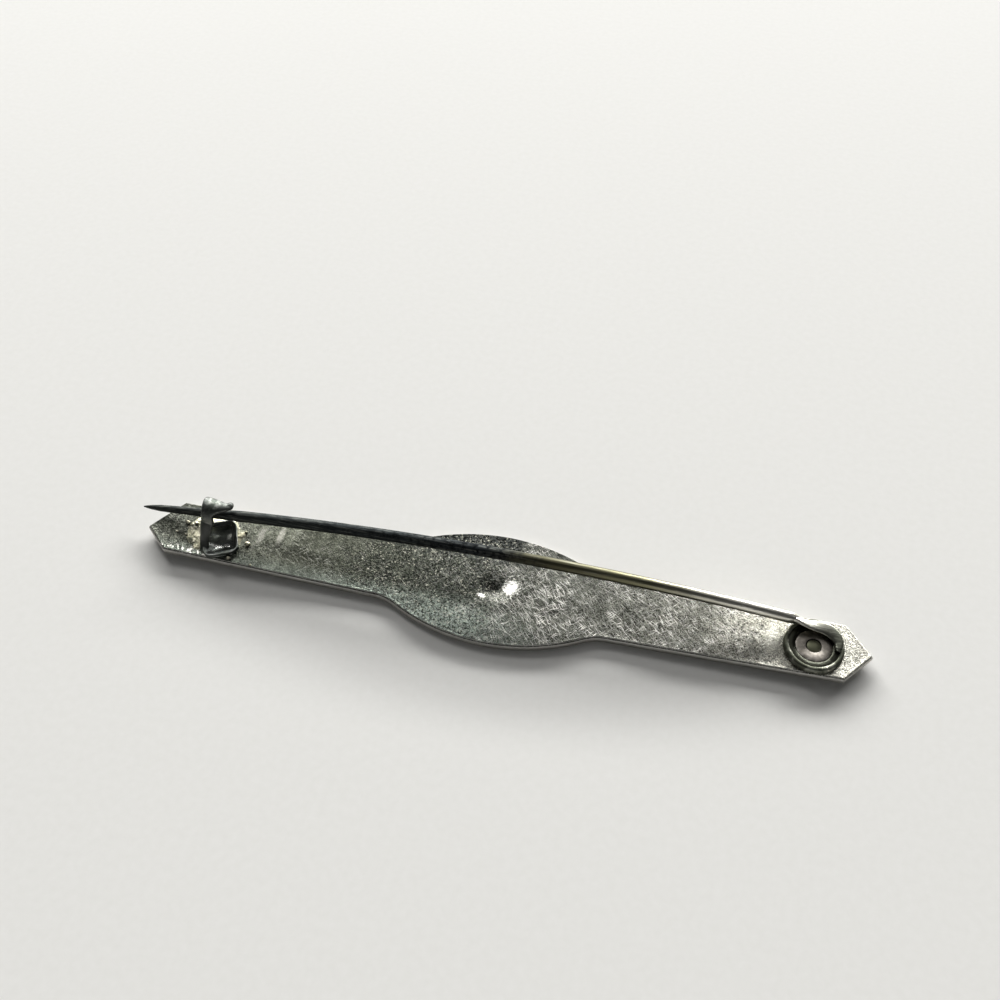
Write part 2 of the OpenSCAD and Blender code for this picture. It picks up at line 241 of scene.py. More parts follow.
    # the light catches shallow waves, and then the grain, the blotches, the scratches and the specks
    across = addNode(tree, "Mapping", {"Scale": look["bandStretch"]}, {"Vector": point})
    bands = addNode(tree, "TexNoise", {"Scale": perSize(look["bandSize"]), "Detail": 2.0}, {"Vector": across})
    waves = addNode(tree, "Bump", {"Strength": 1.0, "Distance": look["waveDepth"] * mm}, {"Height": bands})
    height = addNode(tree, "Math", {"operation": "MULTIPLY"}, {0: grain, 1: calm})
    for mark, depth in ((blotch, "blotchDepth"), (lines, "scratchDepth"), (specks, "speckDepth")):
        height = addNode(tree, "Math", {"operation": "MULTIPLY_ADD", 1: look[depth]}, {0: mark, 2: height})
    bump = addNode(tree, "Bump", {"Strength": 1.0, "Distance": look["grainDepth"] * mm},
                   {"Height": height, "Normal": waves})
    fillNode(tree, tree.nodes["Principled BSDF"], {"Metallic": 1.0},
             {"Base Color": tone, "Roughness": rough, "Normal": bump})
    return material


def makeDarkStrip():
    # darkened nickel silver strip, formed and worn: dark and glossy in the dish, grey where the hook is handled
    look = {"stops": [(0.0, "#868a85"), (0.1, "#6f736f"), (0.28, "#a0a19b"), (0.5, "#96978f"), (0.74, "#5a5c58"),
                      (1.0, "#565855")],
            "paintedDishHighlights": ((-23.58, -1.3, 0.6, 0.24), (-22.75, -1.06, 0.3, 0.2), (-22.87, -0.14, 0.26, 0.34),
                     (-24.04, 1.22, 0.5, 0.07)),
            "paintedHighlight": "#f4f4ee", "pale": "#a9aaa4", "green": "#4b5248", "grainSize": 0.4, "patchSize": 1.6,
            "ragged": 1.6, "heights": (1.0, 3.5), "grainDepth": 0.05}
    material, tree = newMaterial("darkenedNickelSilverStrip")
    point = addNode(tree, "TexCoord")
    z = addNode(tree, "SeparateXYZ", None, {0: point}).node.outputs[2]
    high = addNode(tree, "MapRange", {"span": look["heights"]}, {"Value": z})
    grain = addNode(tree, "TexNoise", {"Scale": perSize(look["grainSize"]), "Detail": 4.0}, {"Vector": point})
    patch = addNode(tree, "TexNoise", {"Scale": perSize(look["patchSize"]), "Detail": 2.0}, {"Vector": point})
    mossy = addNode(tree, "MapRange", {"range": (0.45, 0.62), "To Max": 0.6}, {"Value": patch})
    tone = addNode(tree, "ValToRGB", {"stops": look["stops"]}, {"Fac": high})
    tone = addNode(tree, "Mix", {7: look["green"]}, {0: mossy, 6: tone})
    # painted highlights: bright spots on the dish's slopes stand in for light caught there
    for cx, cy, rx, ry in look["paintedDishHighlights"]:
        near = awayFrom(tree, point, (cx, cy), (rx, ry))
        near = addNode(tree, "Math", {"operation": "MULTIPLY_ADD", 1: look["ragged"]}, {0: grain, 2: near})
        near = addNode(tree, "MapRange", {"range": (1.8, 1.3)}, {"Value": near})
        low = addNode(tree, "MapRange", {"range": (0.12, 0.1)}, {"Value": high})
        near = addNode(tree, "Math", {"operation": "MULTIPLY"}, {0: near, 1: low})
        tone = addNode(tree, "Mix", {7: look["paintedHighlight"]}, {0: near, 6: tone})
    worn = addNode(tree, "MapRange", {"range": (0.5, 0.7), "To Max": 0.6}, {"Value": grain})
    worn = addNode(tree, "Math", {"operation": "MULTIPLY"}, {0: worn, 1: high})
    tone = addNode(tree, "Mix", {7: look["pale"]}, {0: worn, 6: tone})
    rough = addNode(tree, "MapRange", {"From Max": 0.3, "To Min": 0.2, "To Max": 0.48}, {"Value": high})
    height = addNode(tree, "Math", {"operation": "MULTIPLY_ADD", 1: 2.0}, {0: patch, 2: grain})
    bump = addNode(tree, "Bump", {"Strength": 0.4, "Distance": look["grainDepth"] * mm}, {"Height": height})
    fillNode(tree, tree.nodes["Principled BSDF"], {"Metallic": 1.0},
             {"Base Color": tone, "Roughness": rough, "Normal": bump})
    return material


def makeSolder():
    # tin and lead solder, run in by hand: yellowish grey, lumpy and grainy, with bright beads
    look = {"dull": "#a3a088", "bright": "#fdf6dc", "dark": "#5b5c50", "grainSize": 0.2, "lumpSize": 0.7,
            "proudAt": (1.07, 1.17), "grainDepth": 0.05}
    material, tree = newMaterial("grainySoftSolder")
    point = addNode(tree, "TexCoord")
    grain = addNode(tree, "TexNoise", {"Scale": perSize(look["grainSize"]), "Detail": 4.0, "Roughness": 0.62},
                    {"Vector": point})
    lumps = addNode(tree, "TexNoise", {"Scale": perSize(look["lumpSize"]), "Detail": 3.0}, {"Vector": point})
    body = addNode(tree, "MapRange", {"range": (0.36, 0.56)}, {"Value": lumps})
    beads = addNode(tree, "MapRange", {"range": (0.55, 0.68)}, {"Value": grain})
    tone = addNode(tree, "Mix", {6: look["dark"], 7: look["dull"]}, {0: body})
    z = addNode(tree, "SeparateXYZ", None, {0: point}).node.outputs[2]
    proud = addNode(tree, "MapRange", {"span": look["proudAt"], "To Max": 0.85}, {"Value": z})
    beads = addNode(tree, "Math", {"operation": "MAXIMUM"}, {0: beads, 1: proud})
    tone = addNode(tree, "Mix", {7: look["bright"]}, {0: beads, 6: tone})
    height = addNode(tree, "Math", {"operation": "MULTIPLY_ADD", 1: 1.5}, {0: lumps, 2: grain})
    bump = addNode(tree, "Bump", {"Strength": 0.8, "Distance": look["grainDepth"] * mm}, {"Height": height})
    fillNode(tree, tree.nodes["Principled BSDF"], {"Metallic": 1.0, "Roughness": 0.34},
             {"Base Color": tone, "Normal": bump})
    return material


def makeCupMetal():
    # nickel silver cup, pressed and oxidised: dark green-grey and streaky, with small bright chips
    look = {"dark": "#55574b", "grey": "#95968a", "bright": "#e2dfce", "grainSize": 0.28, "patchSize": 1.2,
            "streak": (1, 0.3, 1), "streakTurn": 0.7, "grainDepth": 0.04}
    material, tree = newMaterial("oxidisedNickelSilverCup")
    point = addNode(tree, "TexCoord")
    streaked = addNode(tree, "Mapping", {"Rotation": (0, 0, look["streakTurn"]), "Scale": look["streak"]},
                       {"Vector": point})
    grain = addNode(tree, "TexNoise", {"Scale": perSize(look["grainSize"]), "Detail": 4.0, "Roughness": 0.62},
                    {"Vector": streaked})
    patch = addNode(tree, "TexNoise", {"Scale": perSize(look["patchSize"]), "Detail": 3.0}, {"Vector": point})
    body = addNode(tree, "MapRange", {"range": (0.44, 0.58)}, {"Value": patch})
    chips = addNode(tree, "MapRange", {"range": (0.56, 0.64)}, {"Value": grain})
    chips = addNode(tree, "Math", {"operation": "MULTIPLY"}, {0: chips, 1: body})
    tone = addNode(tree, "Mix", {6: look["dark"], 7: look["grey"]}, {0: body})
    tone = addNode(tree, "Mix", {7: look["bright"]}, {0: chips, 6: tone})
    bump = addNode(tree, "Bump", {"Strength": 0.7, "Distance": look["grainDepth"] * mm}, {"Height": grain})
    fillNode(tree, tree.nodes["Principled BSDF"], {"Metallic": 1.0, "Roughness": 0.52},
             {"Base Color": tone, "Normal": bump})
    return material


def makeRivetMetal():
    # copper-nickel rivet, headed and rubbed: pinkish light grey, olive within its punched ring, chipped at its edge
    look = {"pink": "#bcb5ab", "dull": "#9b958c", "olive": "#85866f", "line": "#262521", "bright": "#e4ddd4",
            "grainSize": 0.3, "grainDepth": 0.02, "lineAt": (0.64, 0.6), "insideAt": (0.55, 0.5),
            "edgeAt": (1.24, 1.36)}
    material, tree = newMaterial("rubbedCopperNickelRivet")
    point = addNode(tree, "TexCoord")
    centred = addNode(tree, "Mapping", {"Location": (-jointAt.x * mm, -jointAt.y * mm, 0)}, {"Vector": point})
    flat = addNode(tree, "VectorMath", {"operation": "MULTIPLY", 1: (1, 1, 0)}, {0: centred})
    reach = addNode(tree, "VectorMath", {"operation": "LENGTH"}, {0: flat}).node.outputs["Value"]
    grain = addNode(tree, "TexNoise", {"Scale": perSize(look["grainSize"]), "Detail": 4.0}, {"Vector": point})
    soft = addNode(tree, "MapRange", {"range": (0.4, 0.62)}, {"Value": grain})
    tone = addNode(tree, "Mix", {6: look["dull"], 7: look["pink"]}, {0: soft})
    for shade, span in (("line", "lineAt"), ("olive", "insideAt")):
        ring = addNode(tree, "MapRange", {"span": look[span]}, {"Value": reach})
        tone = addNode(tree, "Mix", {7: look[shade]}, {0: ring, 6: tone})
    edge = addNode(tree, "MapRange", {"span": look["edgeAt"]}, {"Value": reach})
    chips = addNode(tree, "MapRange", {"range": (0.48, 0.6)}, {"Value": grain})
    chips = addNode(tree, "Math", {"operation": "MULTIPLY"}, {0: chips, 1: edge})
    tone = addNode(tree, "Mix", {7: look["bright"]}, {0: chips, 6: tone})
    bump = addNode(tree, "Bump", {"Strength": 0.6, "Distance": look["grainDepth"] * mm}, {"Height": grain})
    fillNode(tree, tree.nodes["Principled BSDF"], {"Metallic": 1.0, "Roughness": 0.45},
             {"Base Color": tone, "Normal": bump})
    return material


def makePinWire():
    # drawn brass wire, silvered once: grey at the point, black and crusted past the catch, olive where the silver
    # thins, and bright towards the joint, with fine lines along the wire
    # the last stops paint the curl's far end darker: painted shade
    look = {"stops": [(0.0, "#3c3f3c"), (0.13, "#363937"), (0.2, "#3b3f3e"), (0.5, "#303436"), (0.58, "#4b4938"),
                      (0.74, "#838067"), (0.86, "#f0ede0"), (0.93, "#e6e3d6"), (0.975, "#85877a"), (1.0, "#5c5e52")],
            "crust": "#1c1f20", "pale": "#c2c2b6", "lowInCupTone": "#3a3b33", "lineSize": 0.13, "crustSize": 0.45,
            "dirty": [(0.14, "#000000"), (0.24, "#909090"), (0.5, "#ffffff"), (0.6, "#000000")], "patchSize": 2.5,
            "blend": 3, "reach": 29.5, "stretch": (0.035, 1, 1), "darkerBelow": (1.72, 1.42), "inCup": (22.9, 23.5),
            "grainDepth": 0.03}
    material, tree = newMaterial("oldSilveredBrassWire")
    point = addNode(tree, "TexCoord")
    x = addNode(tree, "SeparateXYZ", None, {0: point})
    patch = addNode(tree, "TexNoise", {"Scale": perSize(look["patchSize"]), "Detail": 3.0}, {"Vector": point})
    along = addNode(tree, "Math", {"operation": "MULTIPLY_ADD", 1: look["blend"] * mm}, {0: patch, 2: x})
    place = addNode(tree, "MapRange", {"span": (-look["reach"], look["reach"])}, {"Value": along})
    tone = addNode(tree, "ValToRGB", {"stops": look["stops"]}, {"Fac": place})
    drawn = addNode(tree, "Mapping", {"Scale": look["stretch"]}, {"Vector": point})
    lines = addNode(tree, "TexNoise", {"Scale": perSize(look["lineSize"]), "Detail": 3.0}, {"Vector": drawn})
    fine = addNode(tree, "MapRange", {"range": (0.5, 0.68), "To Max": 0.18}, {"Value": lines})
    tone = addNode(tree, "Mix", {7: look["pale"]}, {0: fine, 6: tone})
    crust = addNode(tree, "TexNoise", {"Scale": perSize(look["crustSize"]), "Detail": 4.0, "Roughness": 0.65},
                    {"Vector": point})
    crust = addNode(tree, "MapRange", {"range": (0.47, 0.6)}, {"Value": crust})
    dirty = addNode(tree, "ValToRGB", {"stops": look["dirty"]}, {"Fac": place})
    crust = addNode(tree, "Math", {"operation": "MULTIPLY"}, {0: crust, 1: dirty})
    tone = addNode(tree, "Mix", {7: look["crust"]}, {0: crust, 6: tone})
    # the wire and its eye are darker low down in the cup
    low = addNode(tree, "MapRange", {"span": look["darkerBelow"]}, {"Value": x.node.outputs[2]})
    inCup = addNode(tree, "MapRange", {"span": look["inCup"]}, {"Value": x})
    low = addNode(tree, "Math", {"operation": "MULTIPLY"}, {0: low, 1: inCup})
    tone = addNode(tree, "Mix", {7: look["lowInCupTone"]}, {0: low, 6: tone})
    # matt where it is black, smooth where it is bright
    rough = addNode(tree, "MapRange", {"range": (0.5, 0.76), "To Min": 0.68, "To Max": 0.3}, {"Value": place})
    rough = addNode(tree, "Math", {"operation": "MULTIPLY_ADD", 1: 0.1}, {0: crust, 2: rough})
    height = addNode(tree, "Math", {"operation": "MULTIPLY_ADD", 1: 1.2}, {0: crust, 2: lines})
    bump = addNode(tree, "Bump", {"Strength": 0.7, "Distance": look["grainDepth"] * mm}, {"Height": height})
    fillNode(tree, tree.nodes["Principled BSDF"], {"Metallic": 1.0},
             {"Base Color": tone, "Roughness": rough, "Normal": bump})
    return material


def makePaper():
    # plain matt paper: pale grey with a very faint tooth
    look = {"light": "#e6e5e1", "shade": "#dfded9", "toothSize": 0.6}
    material, tree = newMaterial("plainMattPaper")
    point = addNode(tree, "TexCoord")
    tooth = addNode(tree, "TexNoise", {"Scale": perSize(look["toothSize"]), "Detail": 3.0}, {"Vector": point})
    tone = addNode(tree, "Mix", {6: look["light"], 7: look["shade"]}, {0: tooth})
    fillNode(tree, tree.nodes["Principled BSDF"], {"Roughness": 0.9, "Specular IOR Level": 0.2}, {"Base Color": tone})
    return material


def finishPiece(name, bm, material, body, nodes, sharp):
    bmesh.ops.remove_doubles(bm, verts=bm.verts, dist=mergeGap / 2)
    bmesh.ops.recalc_face_normals(bm, faces=bm.faces)
    bmesh.ops.scale(bm, vec=(mm, mm, mm), verts=bm.verts)
    mesh = bpy.data.meshes.new(name)
    bm.to_mesh(mesh)
    bm.free()
    mesh.shade_smooth()
    mesh.set_sharp_from_angle(angle=math.radians(sharp))
    mesh.materials.append(material)
    piece = bpy.data.objects.new(name, mesh)
    bpy.context.scene.collection.objects.link(piece)
    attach(piece, body)
    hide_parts(*nodes)


def spinProfile(points, count):
    # a closed outline beside an upright axis, spun round it and moved to the joint
    bm = bmesh.new()
    verts = [bm.verts.new((x, 0, z)) for x, z in points]
    edges = [bm.edges.new((verts[i], verts[(i + 1) % len(verts)])) for i in range(len(verts))]
    bmesh.ops.spin(bm, geom=verts + edges, cent=(0, 0, 0), axis=(0, 0, 1), dvec=(0, 0, 0),
                   angle=math.tau, steps=count, use_merge=True)
    bmesh.ops.remove_doubles(bm, verts=bm.verts, dist=mergeGap)
    bmesh.ops.translate(bm, vec=jointAt + Vector((0, 0, seatHeight)), verts=bm.verts)
    return bm


def sweep(bm, stations, sides=28):
    # one rounded section drawn through all stations: place, way ahead, way across, width, depth, squareness
    cap = bmesh.ops.create_circle(bm, cap_ends=True, radius=1, segments=sides)["verts"][0].link_faces[0]
    spots = {vert: vert.co.copy() for vert in cap.verts}
    for index, (place, ahead, across, width, depth, square) in enumerate(stations):
        if index:
            before = [(vert.co.copy(), spots[vert]) for vert in cap.verts]
            made = bmesh.ops.extrude_face_region(bm, geom=[cap] + cap.edges[:])["geom"]
            cap = next(part for part in made if isinstance(part, bmesh.types.BMFace))
            spots = {vert: min(before, key=lambda pair: (pair[0] - vert.co).length)[1] for vert in cap.verts}
        forward = ahead.normalized()
        side = (across - forward * across.dot(forward)).normalized()
        through = side.cross(forward)
        for vert, spot in spots.items():
            x = math.copysign(abs(spot.x) ** (2 / square), spot.x) * width / 2
            y = math.copysign(abs(spot.y) ** (2 / square), spot.y) * depth / 2
            vert.co = place + side * x + through * y


def joinSweep(bm, stations):
    # a second sweep, laid through what is there already
    strip = bmesh.new()
    sweep(strip, stations)
    mesh = bpy.data.meshes.new("strip")
    strip.to_mesh(mesh)
    strip.free()
    bm.from_mesh(mesh)
    bpy.data.meshes.remove(mesh)


def sliceAll(bm, axis, reach, gap):
    # even cuts across the axis, from one side of the middle to the other
    count = round(2 * reach / gap)
    for i in range(count + 1):
        bmesh.ops.bisect_plane(bm, geom=bm.verts[:] + bm.edges[:] + bm.faces[:], dist=mergeGap / 2,
                               plane_co=Vector(axis) * (-reach + 2 * reach * i / count), plane_no=axis)


def makeBarSheet():
    # one sheet with pointed ends, a round swell, a dimple at its middle and a filed seat for the cup
    look = {"endWidth": 5, "waistWidth": 5.5, "pointLength": 2.1, "pointSkew": -0.6, "swellWidth": 10.44,
            "swellRadius": 16.1, "cornerRadius": 4, "cornerAt": 10.5, "wallFoot": -0.58, "wallRise": 0.3,
            "edge": ((0.02, 0.09), (0.05, 0.08), (0.03, 0.02), (0.02, 0.0), (0.005, 0.05), (-0.02, 0.01),
                     (0.01, 0.03), (0.045, 0.02), (0.07, -0.02)),
            "front": ((0.04, 0.08), (0.1, 0.07)), "backFrom": -0.05,
            "cuts": (((1, 0, 0), 29.5, 0.5), ((1, 0, 0), 2.1, 0.2), ((0, 1, 0), 4.8, 0.4), ((0, 1, 0), 2.1, 0.2)),
            "dimpleWidth": 1.1, "dimpleDepth": 0.42, "dimpleFall": 1.6, "dimpleAt": (0.05, 0.0),
            "ring": (0.035, 1.7, 0.5), "seatRadius": 2.4, "wave": 0.012, "waveSize": (3.5, 2.5)}
    # the outline: straight from the point to the waist, then a hollow corner runs into the round swell
    cornerX = barHalf - look["pointLength"]
    slope = math.atan((look["waistWidth"] - look["endWidth"]) / 2 / (cornerX - look["cornerAt"]))
    out = Vector((math.sin(slope), math.cos(slope), 0))
    run = Vector((math.cos(slope), -math.sin(slope), 0))
    swellAt = Vector((0, look["swellWidth"] / 2 - look["swellRadius"], 0))
    lift = out.dot(Vector((look["cornerAt"], look["waistWidth"] / 2, 0))) + look["cornerRadius"]
    fall = out * lift - swellAt
    reach = look["swellRadius"] + look["cornerRadius"]
    slide = math.sqrt(fall.dot(run) ** 2 - fall.dot(fall) + reach * reach) - fall.dot(run)
    hollowAt = out * lift + run * slide
    hollowStart = hollowAt - out * look["cornerRadius"]
    hollowEnd = swellAt + (hollowAt - swellAt) * look["swellRadius"] / reach
    hollowAngle = (hollowStart - hollowAt).angle(hollowEnd - hollowAt)
    swellAngle = 2 * math.atan2((hollowEnd - swellAt).x, (hollowEnd - swellAt).y)

    bm = bmesh.new()
    tip = bm.verts.new((barHalf, 0, 0))
    corner = bm.verts.new((cornerX, look["endWidth"] / 2, 0))
    last = bm.verts.new(hollowStart)
    bm.edges.new((tip, corner))
    bm.edges.new((corner, last))
    for centre, angle, count in ((hollowAt, -hollowAngle, 8), (swellAt, swellAngle, 44),
                                 (Vector((-hollowAt.x, hollowAt.y, 0)), -hollowAngle, 8)):
        spun = bmesh.ops.spin(bm, geom=[last], cent=centre, axis=(0, 0, 1), dvec=(0, 0, 0), angle=angle, steps=count)
        last = next(part for part in spun["geom_last"] if isinstance(part, bmesh.types.BMVert))
    leftCorner = bm.verts.new((-cornerX, look["endWidth"] / 2, 0))
    leftTip = bm.verts.new((-barHalf, 0, 0))
    bm.edges.new((last, leftCorner))
    bm.edges.new((leftCorner, leftTip))
    bmesh.ops.mirror(bm, geom=bm.verts[:] + bm.edges[:], axis="Y", merge_dist=mergeGap)
    bmesh.ops.remove_doubles(bm, verts=bm.verts, dist=mergeGap)
    min(bm.verts, key=lambda vert: vert.co.x).co.y += look["pointSkew"]
    face = bmesh.ops.contextual_create(bm, geom=bm.edges[:])["faces"][0]
    if face.normal.z < 0:
        face.normal_flip()
    bmesh.ops.translate(bm, vec=(0, 0, look["wallFoot"]), verts=bm.verts)
    grown = bmesh.ops.extrude_face_region(bm, geom=[face], use_keep_orig=True)["geom"]
    top = next(part for part in grown if isinstance(part, bmesh.types.BMFace))
    bmesh.ops.translate(bm, vec=(0, 0, look["wallRise"]), verts=top.verts[:])
    bmesh.ops.recalc_face_normals(bm, faces=bm.faces)
    # the wall rounds over, sinks in a fine groove, and ends in a burr just proud of the back; the front edge is eased
    for side, rows in ((top, look["edge"]), (face, look["front"])):
        for width, rise in rows:
            bmesh.ops.inset_region(bm, faces=[side], thickness=width, depth=rise, use_even_offset=True,
                                   use_boundary=True)
    # cut to a grid that can bow and wave, finer round the dimple
    for axis, reach, gap in look["cuts"]:
        sliceAll(bm, axis, reach, gap)
    burrAt = max(vert.co.z for vert in bm.verts)
    dimple = Vector((*look["dimpleAt"], 0))
    ringRise, ringAway, ringWidth = look["ring"]
    waveLong, waveWide = look["waveSize"]
    for vert in bm.verts:
        flat = Vector((vert.co.x, vert.co.y, 0))
        if vert.co.z > look["backFrom"]:
            away = (flat - dimple).length
            vert.co.z -= look["dimpleDepth"] * math.exp(-(away / look["dimpleWidth"]) ** 2 * look["dimpleFall"])
            vert.co.z += ringRise * math.exp(-((away - ringAway) / ringWidth) ** 2)
            vert.co.z += look["wave"] * noise.noise(Vector((flat.x / waveLong, flat.y / waveWide, 0)))
        vert.co.z += backHeight(vert.co.x)
        if (flat - jointAt).length < look["seatRadius"]:
            vert.co.z = min(vert.co.z, seatHeight)
        vert.co.z = max(vert.co.z, 0)
    print("bar sheet:", len(bm.faces), "faces, burr", round(burrAt, 3), "mm over the back")
    finishPiece("bar_sheet", bm, sheetMetal, "brooch", ["bar"], sharp=50)


def melt(bm, size):
    # the parts of one formed strip run into each other: a fine even mesh over all of them, then eased
    mesh = bpy.data.meshes.new("melt")
    bm.to_mesh(mesh)
    lump = bpy.data.objects.new("melt", mesh)
    bpy.context.scene.collection.objects.link(lump)
    remesh = lump.modifiers.new("even", "REMESH")
    remesh.mode = "VOXEL"
    remesh.voxel_size = size
    ease = lump.modifiers.new("ease", "SMOOTH")
    ease.factor, ease.iterations = 0.5, 5
    shape = lump.evaluated_get(bpy.context.evaluated_depsgraph_get()).to_mesh()
    bm.clear()
    bm.from_mesh(shape)
    bpy.data.objects.remove(lump)
    bpy.data.meshes.remove(mesh)


def makeCatch():
    # the foot is a small dished plate, and a strip rises from its lip, widens and turns over the pin
    look = {"width": 2.9, "length": 3.4, "blank": 0.6, "round": 0.75, "height": 0.42,
            "dish": ((0.05, 0.0), (0.06, -0.02), (0.08, -0.05), (0.12, -0.07), (0.16, -0.075), (0.2, -0.06),
                     (0.2, -0.03), (0.2, -0.01)),
            "root": (-24.42, -1.95), "strip": 0.7, "widens": 0.42, "thick": 0.44, "square": 3.2,
            "leans": Vector((1, 0.28, 0)), "bulge": Vector((-0.05, 0, 0.12)), "join": Vector((-0.1, -1.0, -0.1)),
            "hookAt": Vector((-24.55, 1.18, 2.26)), "radius": 1.0, "twist": -5, "hookFrom": 184, "hookTurn": 118,
            "drift": 0.2, "flareFrom": 0.35, "left": (0.62, 0.92), "right": (0.5, 1.8),
            "lip": ((0.09, 0.97), (0.16, 0.86), (0.2, 0.6)),
            "bead": (0.32, 0.38, 0.26), "beadAt": (-23.0, 1.42, 3.2), "voxel": 0.05}
    base = backHeight(footAt.x)
    bm = bmesh.new()
    bmesh.ops.create_cube(bm, size=1)
    bmesh.ops.scale(bm, vec=(look["width"], look["length"], look["blank"]), verts=bm.verts)
    upright = [e for e in bm.edges if abs(e.verts[0].co.z - e.verts[1].co.z) > look["blank"] / 2]
    bmesh.ops.bevel(bm, geom=upright, offset=look["round"], segments=7, profile=0.5, affect="EDGES", material=-1)
    top = max(bm.faces, key=lambda f: f.calc_center_median().z)
    for width, depth in look["dish"]:
        bmesh.ops.inset_region(bm, faces=[top], thickness=width, depth=depth, use_even_offset=True, use_boundary=True)
    high = max(v.co.z for v in bm.verts)
    bmesh.ops.rotate(bm, cent=(0, 0, 0), matrix=Matrix.Rotation(math.radians(footTurn), 3, "Z"), verts=bm.verts)
    bmesh.ops.translate(bm, vec=footAt + Vector((0, 0, base + look["height"] - high)), verts=bm.verts)
    twist = Matrix.Rotation(math.radians(look["twist"]), 3, "Z")
    root = Vector((*look["root"], base))
    rise = look["hookAt"] + twist @ look["join"] - root
    stations = [(root + rise * t + look["bulge"] * math.sin(math.pi * t), rise, look["leans"],
                 look["strip"] + look["widens"] * t * t, look["thick"], look["square"]) for t in shares(9)]
    # over the pin the strip flares, more to the right than to the left
    for t in shares(18)[1:]:
        angle = math.radians(look["hookFrom"] - look["hookTurn"] * t)
        flare = eased(max(0, (t - look["flareFrom"]) / (1 - look["flareFrom"])))
        left, right = (near + (far - near) * flare for near, far in (look["left"], look["right"]))
        out = Vector((0, math.cos(angle), math.sin(angle))) * look["radius"]
        place = look["hookAt"] + twist @ (out + Vector(((right - left) / 2, 0, 0)))
        ahead = twist @ Vector((look["drift"], math.sin(angle), -math.cos(angle)))
        stations.append((place, ahead, twist @ Vector((1, 0, 0)), left + right, look["thick"], look["square"]))
    place, ahead, across, width, depth, square = stations[-1]
    for move, grow in look["lip"]:
        stations.append((place + ahead.normalized() * move, ahead, across, width * grow, depth * grow, square))
    joinSweep(bm, stations)
    # the lip ends in a small lump at its right
    bead = bmesh.ops.create_icosphere(bm, subdivisions=4, radius=1)["verts"]
    bmesh.ops.scale(bm, vec=look["bead"], verts=bead)
    bmesh.ops.translate(bm, vec=look["beadAt"], verts=bead)
    bmesh.ops.recalc_face_normals(bm, faces=bm.faces)
    melt(bm, look["voxel"])
    print("catch:", len(bm.faces), "faces")
    finishPiece("catch_strip", bm, darkStrip, "brooch", ["bar"], sharp=80)


def makeSolderPool():
    # low and ragged round the foot, and sunk where the foot covers it
    look = {"centre": (-24.2, -0.1), "length": 6.0, "width": 4.5, "edge": 2.28, "height": 0.2, "crown": 1.6,
            "rings": 22, "ringGap": 0.045, "ragged": 0.16, "wiggle": 2.6, "lump": 0.035, "lumpSize": 0.4,
            "fractal": (0.7, 2.1, 4), "sunk": 0.1, "low": 0.03, "foot": (1.25, 1.5),
            "beads": ((-26.85, 0.47, 0.17), (-26.11, 0.54, 0.15), (-27.38, -0.62, 0.1), (-21.16, -0.50, 0.22),
                      (-22.20, -2.2, 0.18), (-20.20, -2.4, 0.1), (-21.72, 0.63, 0.12), (-26.52, -0.73, 0.1)),
            "beadShape": (1.1, 0.9, 0.8), "beadUp": 0.04, "beadOut": 0.3}
    bm = bmesh.new()
    top = bmesh.ops.create_circle(bm, cap_ends=True, radius=1, segments=72)["verts"][0].link_faces[0]
    for i in range(look["rings"]):
        bmesh.ops.inset_region(bm, faces=[top], thickness=look["ringGap"], depth=0, use_even_offset=True,
                               use_boundary=True)
    bmesh.ops.poke(bm, faces=[top])
    untwist = Matrix.Rotation(math.radians(-footTurn), 3, "Z")
    for vert in bm.verts:
        r = min(1, math.hypot(vert.co.x, vert.co.y))
        x, y = vert.co.x * look["length"] / 2, vert.co.y * look["width"] / 2
        spread = 1 + look["ragged"] * noise.noise(Vector((math.atan2(y, x) * look["wiggle"], 0, 3)))
        x, y = look["centre"][0] + x * spread, look["centre"][1] + y * spread
        y = max(-look["edge"], min(look["edge"], y))
        inFoot = untwist @ (Vector((x, y, 0)) - footAt)
        lump = noise.fractal(Vector((x / look["lumpSize"], y / look["lumpSize"], 1)), *look["fractal"])
        border = r ** 8
        rise = look["height"] * (1 - r ** look["crown"]) - look["low"] - look["sunk"] * border
        rise += look["lump"] * lump * (1 - border)
        if abs(inFoot.x) < look["foot"][0] and abs(inFoot.y) < look["foot"][1]:
            rise = -look["sunk"]
        vert.co = (x, y, backHeight(x) + rise)
    # closed underneath, inside the sheet
    bmesh.ops.contextual_create(bm, geom=[edge for edge in bm.edges if len(edge.link_faces) == 1])
    # beads that ran off the joint and set
    for x, y, size in look["beads"]:
        bead = bmesh.ops.create_icosphere(bm, subdivisions=3, radius=size)["verts"]
        bmesh.ops.scale(bm, vec=look["beadShape"], verts=bead)
        bmesh.ops.translate(bm, vec=(x, y, backHeight(x) + look["beadUp"] + size * look["beadOut"]), verts=bead)
    finishPiece("catch_solder", bm, softSolder, "brooch", ["bar"], sharp=80)


def makeJointCup():
    # a pressed cup with its rim turned in, a little dented; the wall's rows give the way in from the radius, and up
    look = {"radius": 2.35, "bore": 0.67, "floor": (0.02, 0.17),
            "wall": ((0.02, 0.02), (0, 0.08), (0.005, 0.36), (0.04, 0.46), (0.11, 0.54), (0.2, 0.57), (0.3, 0.565),
                     (0.365, 0.53), (0.365, 0.47), (0.17, 0.42), (0.15, 0.38), (0.15, 0.17)),
            "dent": 0.03, "dentFrom": (2.1, 0.3)}
    low, high = look["floor"]
    wall = [(look["radius"] - into, up) for into, up in look["wall"]]
    bm = spinProfile([(look["bore"], low), *wall, (look["bore"], high)], count=120)
    for vert in bm.verts:
        away = vert.co - jointAt
        if math.hypot(away.x, away.y) > look["dentFrom"][0] and away.z > seatHeight + look["dentFrom"][1]:
            vert.co.z -= look["dent"] * abs(noise.noise(Vector((away.x, away.y, 0.4))))
    finishPiece("joint_cup_rim", bm, cupMetal, "brooch", ["joint_cup"], sharp=60)


